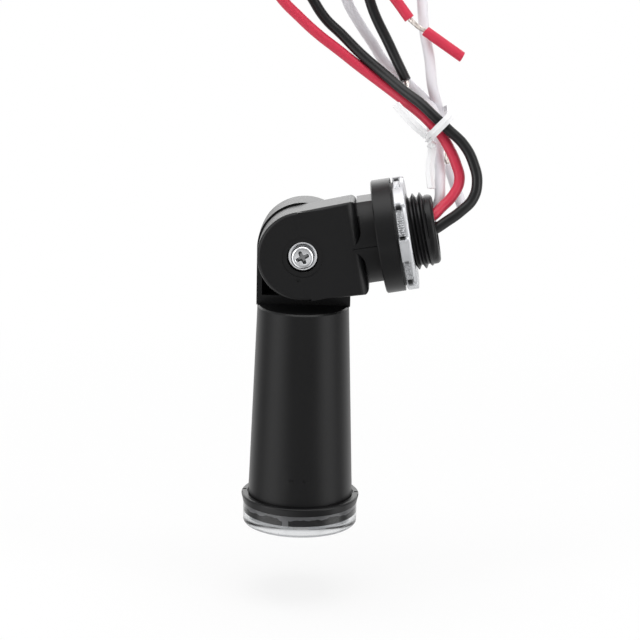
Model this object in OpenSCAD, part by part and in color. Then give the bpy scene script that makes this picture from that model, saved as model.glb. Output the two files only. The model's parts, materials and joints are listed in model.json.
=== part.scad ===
// Swivel-stem photocell light switch: a sensing head on a half-lap knuckle with a conduit stem.
// Millimetres. The origin is on the stem axis at the collar's seating face, with +Z up.

/* [Swivel] */
// Rise of the stem above horizontal while the head hangs straight down, degrees
stem_rise = 10.3; // [0:0.1:14]
// Radius of the head tongue's rounded end
knuckle_r = 12.2; // [11.8:0.1:12.6]
// Radius of the stem cheek's rounded end
cheek_r = 11.7; // [11.2:0.1:12.2]
// Flare of the cheek's two sides towards the stem, degrees
cheek_flare = 2.4; // [0:0.1:3]
// Front face of the stem's cheek, ahead of the middle plane
cheek_front = 10.5; // [10.2:0.1:11]
// Lap plane between the two halves of the knuckle, ahead of the middle plane
lap_ahead = 0.8; // [0:0.1:1.5]
// Running gap at the lap plane
lap_gap = 0.3; // [0.2:0.05:0.5]
// Back face of the head's tongue, behind the middle plane
tongue_back = 8.8; // [8.4:0.1:9.4]
// Length of the stem's cheek from the pivot
cheek_length = 15.4; // [14.6:0.1:15.8]
// Wall of the hollow knuckle halves
knuckle_wall = 1.4; // [1:0.1:2]
// Rounding of the cheek's front edge
cheek_round = 1; // [0.6:0.1:1.6]

/* [Stem] */
// Distance from the pivot to the collar's seating face
seat_distance = 24.5; // [23.8:0.1:28]
// Collar thickness
collar_thick = 4.9; // [3.5:0.1:5.2]
// Collar diameter
collar_d = 29.4; // [28:0.1:32]
// Outside diameter of the conduit thread
thread_d = 19.7; // [19.4:0.1:21]
// Thread length from the seat to the end of the stem
thread_length = 10.1; // [9:0.1:14]
// Diameter of the plain lip at the end of the thread
lip_d = 18; // [17.4:0.1:18.4]
// Length of the plain lip
lip_length = 1.9; // [1.4:0.1:2.4]
// Diameter of the lead passage through the stem
passage_d = 14.4; // [13.8:0.1:14.8]
// Height of the neck across its flats
neck_flats = 21.4; // [20:0.1:22]
// Radius of the neck's front and back arcs
neck_r = 12.3; // [11.8:0.1:13]
// Thickness of the sealing gasket
gasket_thick = 0.6; // [0.5:0.1:1.5]
// Gasket diameter
gasket_d = 26.8; // [25:0.1:28]

/* [Locknut] */
// Diameter over the locknut's lobes
locknut_d = 29.4; // [27:0.1:32]
// Diameter between the lobes
locknut_root_d = 27; // [25:0.1:27.6]
// Locknut thickness
locknut_thick = 2.9; // [2.5:0.1:4]
// Number of lobes
locknut_lobes = 6; // [5:1:8]
// Running clearance in the locknut's and gasket's bores
thread_clear = 0.1; // [0.05:0.05:0.3]

/* [Head] */
// Distance from the pivot down to the shoulder under the knuckle
shoulder_drop = 14.9; // [14.6:0.1:17]
// Distance from the pivot down to the face of the lens
head_length = 74.1; // [72:0.1:90]
// Tube diameter at the shoulder
tube_top_d = 23.9; // [23.6:0.1:26]
// Tube diameter just above the bezel
tube_bottom_d = 27.5; // [27:0.1:28.2]
// Tube wall
tube_wall = 1.8; // [1.4:0.1:2.2]
// Bezel diameter
bezel_d = 31; // [30.4:0.1:34]
// Width of the bezel's ring, from its bore to its rim
bezel_band = 2.5; // [2.2:0.1:3]
// Bezel height
bezel_height = 2.2; // [1.8:0.1:3]
// Lens diameter
lens_d = 30.1; // [29.8:0.1:31]
// Height of lens below the bezel
lens_height = 5.8; // [5:0.1:7]
// Wall of the lens
lens_wall = 1.8; // [1.4:0.1:2]
// Running gap between nested parts of the head
nest_gap = 0.05; // [0.03:0.01:0.1]

/* [Pivot hardware] */
// Pivot screw diameter
screw_d = 4; // [3:0.5:4]
// Screw head diameter
screw_head_d = 6; // [5.6:0.1:7]
// Washer diameter
washer_d = 7.7; // [7.6:0.1:8.6]
// Width of the pivot nut across its flats
nut_flats = 7; // [6:0.5:7]

/* [Electronics] */
// Width of the circuit board
board_w = 19; // [17:0.5:19.4]
// Length of the circuit board
board_length = 45; // [42:0.5:46]
// Thickness of the circuit board
board_thick = 1.6; // [1:0.2:1.6]
// Diameter of the light sensor
sensor_d = 5.2; // [4:0.1:8]

/* [Leads] */
// Diameter of a lead over its insulation
lead_d = 2.8; // [2.4:0.1:2.8]
// Diameter of the bare strands
strand_d = 1.3; // [1:0.1:1.6]

/* [Hidden] */
$fn = 64;
EPS = 0.01;
overrun = 1;

PLASTIC = "#232325";
RUBBER = "#18181a";
ZINC = "#c9ccd0";
CLEAR = "#dfe5ea";
BOARD = "#2f6b3c";
RED = "#c8334a";
BLACK = "#1d1d1f";
WHITE = "#ece9ee";
COPPER = "#b9a58c";

// Knuckle
lap_front = lap_ahead + lap_gap / 2;
lap_back = lap_ahead - lap_gap / 2;
end_round = 1.4;
corner_round = 1.2;
cheek_end_r = cheek_r / cos(cheek_flare) + cheek_length * tan(cheek_flare);
boss_wall = 1.6;
boss_d = screw_head_d + 2 * boss_wall;
washer_thick = 0.8;
washer_sink = 1.4;
washer_recess = washer_thick + washer_sink;
washer_clear = 0.2;
washer_pocket_d = washer_d + 2 * washer_clear;
dish_margin = 1.25;
dish_d = washer_pocket_d + 2 * dish_margin;
dish_depth = 0.2;
screw_clear = 0.15;
screw_hole_d = screw_d + 2 * screw_clear;
shank_clear = 0.05;
shank_sink = 0.3;
screw_head_h = 2;
screw_turn = 15;
screw_head_round = 0.9;
slot_l = 4;
slot_w = 0.9;
slot_depth = 1.3;
pivot_gap = 0.05;
nut_thick = 3.2;
nut_sink = 0.4;
nut_pocket = nut_thick + nut_sink;
nut_clear = 0.15;
gate_d = 0.9;
gate_depth = 0.25;
gate_along = -2.1;
gate_up = -5.7;

// Stem, measured along its axis from the pivot
stem_end = seat_distance + thread_length;
collar_start = seat_distance - collar_thick;
thread_end = stem_end - lip_length;
thread_bevel = (thread_d - lip_d) / 2;
lip_round = 1.2;
collar_break = 0.3;
passage_flare = 0.3;
passage_start = cheek_length + knuckle_wall;
neck_step = 0.1;
neck_front = cheek_front - neck_step;
gasket_start = seat_distance;
locknut_start = gasket_start + gasket_thick;
lobe_share = 0.5;
lobe_turn = 36;
locknut_lip = 0.9;
locknut_lip_out = 0.7;
locknut_lip_d = locknut_root_d + 2 * locknut_lip_out;

// Head, measured down from the pivot
shoulder_z = -shoulder_drop;
lens_bottom_z = -head_length;
bezel_bottom_z = lens_bottom_z + lens_height;
bezel_top_z = bezel_bottom_z + bezel_height;
seat_step = 0.4;
tube_end_z = bezel_top_z - seat_step;
bezel_bore_r = bezel_d / 2 - bezel_band;
spigot_r = bezel_bore_r - nest_gap;
spigot_wall = 0.8;
end_floor = 1.2;
floor_z = tube_end_z + end_floor;
shoulder_thick = 2;
shoulder_break = 0.4;
tongue_round = 1;
tongue_bulge = 0.2;
tongue_side_r = knuckle_r + tongue_bulge;
tongue_sink = 0.3;
cavity_top_z = shoulder_z - shoulder_thick;
cavity_top_r = tube_top_d / 2 - tube_wall;
cavity_end_r = tube_bottom_d / 2 - tube_wall;
pocket_floor = 2.3;
pocket_floor_z = shoulder_z + pocket_floor;
wire_hole_d = 6;
wire_hole_y = 3.4;
bezel_groove = 0.3;
bezel_recess_r = tube_bottom_d / 2 + bezel_groove;
bezel_round = 0.5;
bezel_draft = 0.4;
notch_w = 2.4;
lens_floor = 2;
lens_round = 0.7;
sealant_drop = 0.9;
sealant_top_z = bezel_bottom_z - sealant_drop;
sealant_h = 2;
sealant_wall = 0.9;
sealant_gap_w = 1.6;
sealant_gap_angle = 256.5;
baffle_thick = 1.2;
baffle_sink = 0.3;
baffle_r = spigot_r - spigot_wall - nest_gap;
baffle_ledge = 0.8;
baffle_top_z = bezel_bottom_z + baffle_sink + baffle_thick;
rib_w = 1;
rib_reach = 1;
mark_offset = 2.2;
mark_w = 1.9;
mark_h = 0.6;
mark_depth = 0.5;
mark_rise = 7.5;
mark_z = tube_end_z + mark_rise;

// Electronics, on the board's two faces
board_gap = 0.6;
board_end_z = floor_z + board_gap;
board_top_z = board_end_z + board_length;
board_clear = 0.12;
face = board_thick / 2;
relay_size = [10, 7.6, 15];
relay_drop = 11;
relay_z = board_top_z - relay_drop;
film_size = [11, 5.4, 10];
film_drop = 8;
film_z = board_top_z - film_drop;
electrolytic_d = 7;
electrolytic_h = 11;
electrolytic_drop = 22;
electrolytic_z = board_top_z - electrolytic_drop;
varistor_d = 8;
varistor_thick = 3.2;
varistor_drop = 25;
varistor_z = board_top_z - varistor_drop;
diode_d = 2.4;
diode_h = 4.6;
diode_pitch = 3.6;
diode_rise = 5;
diode_z = board_end_z + diode_rise;
resistor_d = 2.2;
resistor_h = 6;
resistor_pitch = 3.4;
resistor_rise = 4;
resistor_z = board_end_z + resistor_rise;
pin_d = 0.6;
pin_gap = 2.6;
cell_h = 2.2;

// Lead routes in the part's frame, chosen by hand: out of the stem, through the tie, over and back
RED_ROUTE = [[-2.5, -3.5, 1], [2.5, -3, 3.5], [8.5, -3, 5.5], [11, -1, 7.5], [14, 1, 10.5], [15.5, 3, 14],
             [14.5, 4.5, 18], [12.5, 6, 22], [10.5, 7, 25], [8, 8, 27.5], [5, 9.5, 30], [0.5, 12, 33],
             [-5, 15, 36.5], [-11, 17, 40.5], [-16.5, 18, 44.5], [-22.5, 18, 49], [-27, 18, 53],
             [-32, 18, 58], [-35.5, 18, 63.5], [-37, 18, 69.5], [-34.5, 18, 76], [-28.5, 18, 79.5],
             [-21, 18, 78], [-14, 18, 72.5], [-7.5, 18, 64.5], [-2, 17.5, 58], [1.5, 16.5, 53.5]];
BLACK_ROUTE = [[-2, -3, -4], [3, -4, -0.5], [8.5, -4.5, 2], [12.5, -3.5, 4.5], [16, -2.5, 7], [19, -1, 10],
               [20, 0.5, 14], [19, 2, 18.5], [16.5, 3.5, 23], [12, 5, 27], [8.5, 6, 30], [5.5, 7.5, 32.5],
               [0, 11, 36], [-5, 14.5, 39.5], [-11, 17.5, 44], [-16, 19.5, 48.5], [-20.5, 21, 52.5],
               [-24, 22, 57.5], [-27.5, 22, 63.5], [-29.5, 22, 70], [-28, 22, 77], [-23.5, 22, 81.5],
               [-17.5, 22, 81.5], [-13, 22, 76.5], [-11, 22, 69.5], [-9, 22, 57.5], [-3, 19.5, 45],
               [1, 16, 37.5]];
WHITE_ROUTE = [[-1.5, 3, -3], [3, 3, -1], [6.5, 2.5, 1.5], [9, 2, 5], [10.5, 2.5, 9], [10.5, 4, 12.5],
               [10.5, 6.5, 15.5], [10, 9, 19], [10, 10.5, 22.5], [10, 11.5, 26], [9, 12.5, 29],
               [6.5, 16, 32], [2.5, 21, 35], [-1.5, 23.5, 38], [-5, 25, 41], [-8, 25.5, 45.5],
               [-11.5, 26, 50.5], [-15, 26.5, 56.5], [-17, 26.5, 63.5], [-16, 26.5, 70.5], [-11.5, 26.5, 76],
               [-5, 26.5, 77], [0.5, 26, 72.5], [3.5, 24.5, 65], [5.5, 20, 50], [7, 17.5, 43],
               [8, 15.5, 36], [9.5, 15.5, 30.5], [10.5, 15.5, 25.5], [11, 15, 20]];

// Stripped ends: the strands from each lead's end into its slug, and the slug of cut insulation itself
RED_STRIP = [[1.65, 16.45, 53.3], [2.5, 16.3, 52.6], [4.1, 16.2, 51.3], [5.7, 16, 50.5], [8.6, 15.7, 48.6]];
RED_SLUG = [[5.7, 16, 50.5], [15.5, 15, 44]];
BLACK_STRIP = [[1.1, 15.9, 37.3], [1.4, 15.6, 36.7], [2, 15.3, 35.8], [2.75, 15, 35]];
BLACK_SLUG = [[2, 15.3, 35.8], [4.5, 14.2, 33]];
WHITE_STRIP = [[11, 15, 19.7], [11.3, 14.9, 18.9], [12, 14.9, 17.2], [12.6, 15, 15.8], [13.8, 14.85, 12.5]];
WHITE_SLUG = [[12.6, 15, 15.8], [16.5, 14.5, 4.9]];
strand_clear = 0.15;

// Twist tie: a strip bent into a loop about the leads, a twist and two tails
tie_centre = [10.3, 10.5, 28];
tie_lean = 47;
tie_left = 3.8;
tie_right = 3.1;
tie_depth = 13.9;
tie_corner = 1.6;
tie_thick = 0.8;
tie_w = 2.2;
TIE_TWIST = [[6.7, 5.6, 25], [7.6, 5.6, 23.7], [8.3, 5.4, 21.9]];
TIE_TAIL_UP = [[6.7, 5.6, 25], [3, 6.4, 28], [-1.4, 8.4, 32.4]];
TIE_TAIL_DOWN = [[8.3, 5.4, 21.9], [7.8, 3, 16.6], [8.3, 0.5, 12.2]];
tie_twist_d = 2.8;

// Placing

function along_stem(distance) = distance * [cos(stem_rise), 0, sin(stem_rise)];

// Pivot-centred shapes come to the part's frame
module from_pivot() {
    translate(-along_stem(seat_distance)) children();
}

// Local x runs along the stem, local y up across it and local z towards the front
module knuckle_frame() {
    from_pivot() rotate([90, 0, 0]) rotate([0, 0, stem_rise]) children();
}

// Local z runs out along the stem from the pivot
module stem_frame() {
    from_pivot() rotate([0, 90 - stem_rise, 0]) children();
}

// Shared shapes

// A rectangle from the y axis with its outer top corner rounded
module round_corner_section(width, height, radius) {
    square([width, height - radius]);
    square([width - radius, height]);
    translate([width - radius, height - radius]) circle(radius);
}

module tube_ring(outer_r, inner_r, height) {
    difference() {
        cylinder(r = outer_r, h = height);
        translate([0, 0, -overrun]) cylinder(r = inner_r, h = height + 2 * overrun);
    }
}

// Points of a quarter circle, from straight out to straight up
function quarter_arc(centre, radius) = [for (a = [0 : 30 : 90]) centre + radius * [cos(a), sin(a)]];

function unit(v) = v / norm(v);
function heading(route, i) = unit(route[min(i + 1, len(route) - 1)] - route[max(i - 1, 0)]);

// A round bar swept along a route, one ring at each of its points
module swept(route, diameter, sides = 8) {
    last = len(route) - 1;
    rings = [
        for (i = [0 : last])
            let (ahead = heading(route, i), side = unit(cross(ahead, [0, 1, 0])), rise = cross(side, ahead))
                for (k = [0 : sides - 1])
                    route[i] + diameter / 2 * (cos(360 * k / sides) * side + sin(360 * k / sides) * rise)
    ];
    walls = [
        for (i = [0 : last - 1])
            for (k = [0 : sides - 1])
                let (a = i * sides + k, b = i * sides + (k + 1) % sides)
                    [a, b, b + sides, a + sides]
    ];
    near_cap = [[for (k = [0 : sides - 1]) sides - 1 - k]];
    far_cap = [[for (k = [0 : sides - 1]) last * sides + k]];
    polyhedron(points = rings, faces = concat(walls, near_cap, far_cap), convexity = 8);
}

// Stem side

// The cheek's outer form: a rounded end about the pivot and a block that flares towards the stem
module cheek_form() {
    height = cheek_front - lap_front;
    translate([0, 0, lap_front]) {
        rotate([0, 0, 90 - cheek_flare]) rotate_extrude(angle = 180 + 2 * cheek_flare)
            round_corner_section(cheek_r, height, cheek_round);
        intersection() {
            for (side = [0, 1]) mirror([0, side, 0]) rotate([0, 0, cheek_flare]) rotate([90, 0, 90])
                linear_extrude(cheek_length + overrun) translate([-cheek_r, 0])
                    round_corner_section(2 * cheek_r, height, cheek_round);
            rotate([90, 0, 0]) linear_extrude(3 * cheek_r, center = true)
                round_corner_section(cheek_length, height, end_round);
            linear_extrude(height)
                for (side = [0, 1]) mirror([0, side])
                    round_corner_section(cheek_length, cheek_end_r, corner_round);
        }
    }
}

// The cheek's hollow, open at the lap plane and into the stem, with the screw boss left standing
module cheek_hollow() {
    depth = cheek_front - lap_front - knuckle_wall - washer_recess;
    inner_r = cheek_r - knuckle_wall;
    translate([0, 0, lap_front - EPS]) difference() {
        union() {
            cylinder(r = inner_r, h = depth);
            translate([0, -passage_d / 2, 0]) cube([passage_start + overrun, passage_d, depth]);
        }
        translate([0, 0, -overrun]) cylinder(d = boss_d, h = depth + 2 * overrun);
    }
}

// Neck section: shallow arcs front and back between flats above and below
module neck_section() {
    intersection() {
        translate([0, neck_r - neck_front]) circle(neck_r);
        translate([0, neck_front - neck_r]) circle(neck_r);
        square([neck_flats, 4 * neck_r], center = true);
    }
}

// Collar and threaded stem, turned about the stem axis
module collar_and_thread() {
    rotate_extrude() polygon(concat([
        [0, collar_start],
        [collar_d / 2 - collar_break, collar_start],
        [collar_d / 2, collar_start + collar_break],
        [collar_d / 2, seat_distance],
        [thread_d / 2, seat_distance],
        [thread_d / 2, thread_end - thread_bevel],
        [lip_d / 2, thread_end]
    ],
    quarter_arc([lip_d / 2 - lip_round, stem_end - lip_round], lip_round),
    [[0, stem_end]]));
}

module swivel_stem() {
    color(PLASTIC) difference() {
        union() {
            knuckle_frame() cheek_form();
            stem_frame() translate([0, 0, cheek_length - EPS])
                linear_extrude(collar_start - cheek_length + overrun) neck_section();
            stem_frame() collar_and_thread();
        }
        knuckle_frame() cheek_hollow();
        stem_frame() {
            translate([0, 0, passage_start])
                cylinder(d = passage_d, h = stem_end - passage_start + overrun);
            translate([0, 0, stem_end - passage_flare])
                cylinder(d1 = passage_d, d2 = passage_d + 4 * passage_flare, h = 2 * passage_flare);
        }
        knuckle_frame() {
            cylinder(d = screw_hole_d, h = cheek_front + overrun);
            translate([0, 0, cheek_front - washer_recess])
                cylinder(d = washer_pocket_d, h = washer_recess + overrun);
            translate([0, 0, cheek_front - dish_depth]) cylinder(d = dish_d, h = dish_depth + overrun);
            translate([gate_along, gate_up, cheek_front - gate_depth])
                cylinder(d = gate_d, h = gate_depth + overrun);
        }
    }
}

module sealing_gasket() {
    color(RUBBER) stem_frame() translate([0, 0, gasket_start])
        tube_ring(gasket_d / 2, thread_d / 2 + thread_clear, gasket_thick);
}

// One lobe of the locknut, as a sector of its outer circle
module locknut_lobe() {
    half = 360 / locknut_lobes * lobe_share / 2;
    reach = locknut_d;
    intersection() {
        circle(d = locknut_d);
        polygon([[0, 0], [reach * cos(half), -reach * sin(half)], [reach * cos(half), reach * sin(half)]]);
    }
}

module locknut() {
    color(ZINC) stem_frame() translate([0, 0, locknut_start]) difference() {
        union() {
            linear_extrude(locknut_thick) {
                circle(d = locknut_root_d);
                for (i = [0 : locknut_lobes - 1]) rotate(lobe_turn + 360 * i / locknut_lobes) locknut_lobe();
            }
            translate([0, 0, locknut_thick - locknut_lip]) cylinder(d = locknut_lip_d, h = locknut_lip);
        }
        translate([0, 0, -overrun])
            cylinder(d = thread_d + 2 * thread_clear, h = locknut_thick + 2 * overrun);
    }
}

// Pivot hardware, turned about the pivot axis

module pivot_screw() {
    head_seat = cheek_front - washer_recess + washer_thick + pivot_gap;
    color(ZINC) knuckle_frame() difference() {
        union() {
            translate([0, 0, head_seat]) rotate_extrude()
                round_corner_section(screw_head_d / 2, screw_head_h, screw_head_round);
            translate([0, 0, shank_sink - tongue_back])
                cylinder(d = screw_d - 2 * shank_clear, h = tongue_back + head_seat);
        }
        translate([0, 0, head_seat + screw_head_h - slot_depth]) rotate([0, 0, screw_turn]) {
            for (turn = [0, 90]) rotate([0, 0, turn]) translate([-slot_l / 2, -slot_w / 2, 0])
                cube([slot_l, slot_w, screw_head_h]);
        }
    }
}

module pivot_washer() {
    color(ZINC) knuckle_frame() translate([0, 0, cheek_front - washer_recess])
        tube_ring(washer_d / 2, screw_hole_d / 2, washer_thick);
}

module pivot_nut() {
    corner_d = nut_flats / cos(30);
    color(ZINC) from_pivot() rotate([90, 0, 0]) translate([0, 0, nut_sink - tongue_back]) difference() {
        cylinder(d = corner_d, h = nut_thick, $fn = 6);
        translate([0, 0, -overrun]) cylinder(d = screw_d + 2 * shank_clear, h = nut_thick + 2 * overrun);
    }
}

// Head

// The tongue's hollow in outline: rounded over the pivot, straight down to the shoulder
module tongue_outline(inset) {
    circle(knuckle_r - inset);
    translate([-knuckle_r + inset, shoulder_z]) square([2 * (knuckle_r - inset), shoulder_drop]);
}

// The tongue's outer form: rounded over the pivot and along its back edge, within a round of its own
module tongue() {
    depth = tongue_back + lap_back;
    intersection() {
        translate([0, -lap_back, 0]) rotate([-90, 0, 0]) {
            rotate([0, 0, 180]) rotate_extrude(angle = 180)
                round_corner_section(knuckle_r, depth, tongue_round);
            rotate([-90, 0, 0]) mirror([0, 1]) linear_extrude(shoulder_drop + tongue_sink)
                for (side = [0, 1]) mirror([side, 0]) round_corner_section(knuckle_r, depth, tongue_round);
        }
        translate([0, 0, shoulder_z - tongue_sink]) cylinder(r = tongue_side_r, h = 3 * shoulder_drop);
    }
}

// The tongue's hollow, open at the lap plane, with the nut boss left standing
module tongue_hollow() {
    depth = tongue_back + lap_back - knuckle_wall;
    difference() {
        intersection() {
            rotate([90, 0, 0]) translate([0, 0, -tongue_back + knuckle_wall]) linear_extrude(depth + overrun)
                tongue_outline(knuckle_wall);
            translate([0, 0, pocket_floor_z])
                cylinder(r = tongue_side_r - knuckle_wall, h = 2 * shoulder_drop);
        }
        rotate([90, 0, 0]) translate([0, 0, -tongue_back]) cylinder(d = boss_d, h = 2 * tongue_back);
    }
}

// Tube, taper and spigot, turned about the head's axis
module tube_form() {
    rotate_extrude() polygon([
        [0, shoulder_z],
        [tube_top_d / 2 - shoulder_break, shoulder_z],
        [tube_top_d / 2, shoulder_z - shoulder_break],
        [tube_bottom_d / 2, tube_end_z],
        [spigot_r, tube_end_z],
        [spigot_r, bezel_bottom_z],
        [0, bezel_bottom_z]
    ]);
}

module tube_cavity() {
    rotate_extrude() polygon([
        [0, cavity_top_z],
        [cavity_top_r, cavity_top_z],
        [cavity_end_r, floor_z],
        [baffle_r - baffle_ledge, floor_z],
        [baffle_r - baffle_ledge, baffle_top_z],
        [baffle_r + nest_gap, baffle_top_z],
        [baffle_r + nest_gap, bezel_bottom_z - overrun],
        [0, bezel_bottom_z - overrun]
    ]);
}

// Four ribs that guide the board's two edges
module board_ribs() {
    inner_x = board_w / 2 - rib_reach;
    intersection() {
        tube_cavity_shell();
        for (side_x = [0, 1], side_y = [0, 1]) mirror([side_x, 0, 0]) mirror([0, side_y, 0])
            translate([inner_x, face + board_clear, board_end_z - overrun / 2])
                cube([tube_bottom_d / 2 - inner_x, rib_w, cavity_top_z - board_end_z + overrun]);
    }
}

// A slightly swollen cavity that keeps the ribs inside the wall
module tube_cavity_shell() {
    rotate_extrude() polygon([
        [0, cavity_top_z + shoulder_thick / 2],
        [cavity_top_r + tube_wall / 2, cavity_top_z + shoulder_thick / 2],
        [cavity_end_r + tube_wall / 2, board_end_z],
        [0, board_end_z]
    ]);
}

module housing_tube() {
    color(PLASTIC) from_pivot() difference() {
        union() {
            difference() {
                tube_form();
                tube_cavity();
            }
            board_ribs();
            tongue();
        }
        tongue_hollow();
        for (side = [-1, 1]) translate([side * mark_offset, -tube_bottom_d / 2, mark_z])
            cube([mark_w, 2 * mark_depth, mark_h], center = true);
        translate([0, wire_hole_y, cavity_top_z - overrun])
            cylinder(d = wire_hole_d, h = shoulder_thick + pocket_floor + 2 * overrun);
        rotate([90, 0, 0]) {
            translate([0, 0, -tongue_back - overrun]) cylinder(d = screw_hole_d, h = 2 * tongue_back);
            translate([0, 0, -tongue_back - overrun])
                cylinder(d = (nut_flats + 2 * nut_clear) / cos(30), h = nut_pocket + overrun, $fn = 6);
        }
    }
}

// The bezel's outside: a rounded upper rim and a side that draws in towards the lens
module bezel_form() {
    rotate_extrude() polygon(concat(
        [[0, bezel_bottom_z], [bezel_d / 2 - bezel_draft, bezel_bottom_z]],
        quarter_arc([bezel_d / 2 - bezel_round, bezel_top_z - bezel_round], bezel_round),
        [[0, bezel_top_z]]));
}

module bezel_ring() {
    color(PLASTIC) from_pivot() difference() {
        bezel_form();
        translate([0, 0, bezel_bottom_z - overrun])
            cylinder(r = bezel_bore_r, h = bezel_height + 2 * overrun);
        translate([0, 0, tube_end_z]) cylinder(r = bezel_recess_r, h = seat_step + overrun);
        for (side = [-1, 1]) translate([side * bezel_d / 2, 0, bezel_top_z])
            cube([bezel_band, notch_w, 2 * seat_step], center = true);
    }
}

module lens() {
    inner_r = lens_d / 2 - lens_wall;
    color(CLEAR) from_pivot() difference() {
        translate([0, 0, bezel_bottom_z]) mirror([0, 0, 1])
            rotate_extrude() round_corner_section(lens_d / 2, lens_height, lens_round);
        translate([0, 0, lens_bottom_z + lens_floor]) cylinder(r = inner_r, h = lens_height);
    }
}

module lens_sealant() {
    outer_r = lens_d / 2 - lens_wall - nest_gap;
    color(RUBBER) from_pivot() translate([0, 0, sealant_top_z - sealant_h]) difference() {
        tube_ring(outer_r, outer_r - sealant_wall, sealant_h);
        rotate([0, 0, sealant_gap_angle]) translate([outer_r, 0, sealant_h / 2])
            cube([4 * sealant_wall, sealant_gap_w, sealant_h + overrun], center = true);
    }
}

module sensor_baffle() {
    color(PLASTIC) from_pivot() translate([0, 0, baffle_top_z - baffle_thick])
        tube_ring(baffle_r, sensor_d / 2 + nest_gap, baffle_thick);
}

// Light-sensitive cell with its two wires up to the board
module light_sensor() {
    color("#c9b27a") from_pivot() {
        translate([0, 0, baffle_top_z - baffle_thick - cell_h / 2]) cylinder(d = sensor_d, h = cell_h);
        for (side = [-1, 1]) translate([side * pin_gap / 2, 0, baffle_top_z - baffle_thick])
            cylinder(d = pin_d, h = board_end_z - baffle_top_z + baffle_thick);
    }
}

// Electronics

module circuit_board() {
    color(BOARD) from_pivot() translate([0, 0, board_end_z + board_length / 2])
        cube([board_w, board_thick, board_length], center = true);
}

module relay() {
    color("#2a4f86") from_pivot()
        translate([-relay_size.x / 2, face, relay_z - relay_size.z / 2]) cube(relay_size);
}

module film_capacitor() {
    color("#b98a2e") from_pivot() translate([-film_size.x / 2, -face - film_size.y, film_z - film_size.z / 2])
        cube(film_size);
}

module electrolytic_capacitor() {
    color("#30343c") from_pivot()
        translate([0, -face - electrolytic_d / 2, electrolytic_z - electrolytic_h / 2])
            cylinder(d = electrolytic_d, h = electrolytic_h);
}

module varistor() {
    color("#3f62a8") from_pivot() translate([0, face, varistor_z]) rotate([-90, 0, 0])
        cylinder(d = varistor_d, h = varistor_thick);
}

module rectifier_diodes() {
    color(BLACK) from_pivot() for (i = [0 : 3])
        translate([(i - 1.5) * diode_pitch, face + diode_d / 2, diode_z]) cylinder(d = diode_d, h = diode_h);
}

module resistors() {
    color("#b79b6c") from_pivot() for (i = [-1 : 1])
        translate([i * resistor_pitch, -face - resistor_d / 2, resistor_z])
            cylinder(d = resistor_d, h = resistor_h);
}

// Leads

module red_lead() {
    color(RED) swept(RED_ROUTE, lead_d);
}

module black_lead() {
    color(BLACK) swept(BLACK_ROUTE, lead_d);
}

module white_lead() {
    color(WHITE) swept(WHITE_ROUTE, lead_d);
}

module red_strands() {
    color(COPPER) swept(RED_STRIP, strand_d);
}

module black_strands() {
    color(COPPER) swept(BLACK_STRIP, strand_d);
}

module white_strands() {
    color(COPPER) swept(WHITE_STRIP, strand_d);
}

// A loose length of insulation, hollow where the strands reach into it
module slug(ends) {
    ahead = ends[1] - ends[0];
    tilt = acos(ahead.z / norm(ahead));
    turn = atan2(ahead.y, ahead.x);
    translate(ends[0]) rotate([0, tilt, turn])
        tube_ring(lead_d / 2, strand_d / 2 + strand_clear, norm(ahead));
}

module red_slug() {
    color(RED) slug(RED_SLUG);
}

module black_slug() {
    color(BLACK) slug(BLACK_SLUG);
}

module white_slug() {
    color(WHITE) slug(WHITE_SLUG);
}

// Tie

module rounded_rectangle(left, right, depth, radius) {
    for (u = [-left + radius, right - radius], v = [-depth / 2 + radius, depth / 2 - radius])
        translate([u, v]) circle(radius);
    translate([-left, -depth / 2 + radius]) square([left + right, depth - 2 * radius]);
    translate([-left + radius, -depth / 2]) square([left + right - 2 * radius, depth]);
}

// A flat strip along a tail's points, its width leaning as given
module tail(points, lean) {
    for (i = [0 : len(points) - 2])
        hull() for (end = [points[i], points[i + 1]])
            translate(end) rotate([0, -lean, 0]) cube([tie_w, tie_thick, tie_thick], center = true);
}

module twist_tie() {
    color(WHITE) {
        translate(tie_centre) rotate([0, -tie_lean, 0]) linear_extrude(tie_w, center = true) difference() {
            rounded_rectangle(tie_left + tie_thick, tie_right + tie_thick, tie_depth + 2 * tie_thick,
                              tie_corner + tie_thick);
            rounded_rectangle(tie_left, tie_right, tie_depth, tie_corner);
        }
        swept(TIE_TWIST, tie_twist_d);
        tail(TIE_TAIL_UP, tie_lean);
        tail(TIE_TAIL_DOWN, 0);
    }
}

swivel_stem();
sealing_gasket();
locknut();
pivot_screw();
pivot_washer();
pivot_nut();
housing_tube();
bezel_ring();
lens();
lens_sealant();
sensor_baffle();
light_sensor();
circuit_board();
relay();
film_capacitor();
electrolytic_capacitor();
varistor();
rectifier_diodes();
resistors();
red_lead();
black_lead();
white_lead();
red_strands();
black_strands();
white_strands();
red_slug();
black_slug();
white_slug();
twist_tie();
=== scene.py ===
"""Dresses a swivel-stem photocell light switch: mouldings, plated hardware, lens, leads and studio stage."""

import json
from math import atan2, ceil, copysign, cos, exp, hypot, pi, radians, sin

import bmesh
import bpy
from bpy.props import FloatProperty, FloatVectorProperty, IntProperty, PointerProperty
from mathutils import Matrix, Vector
from mathutils.noise import noise as field_noise


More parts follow.
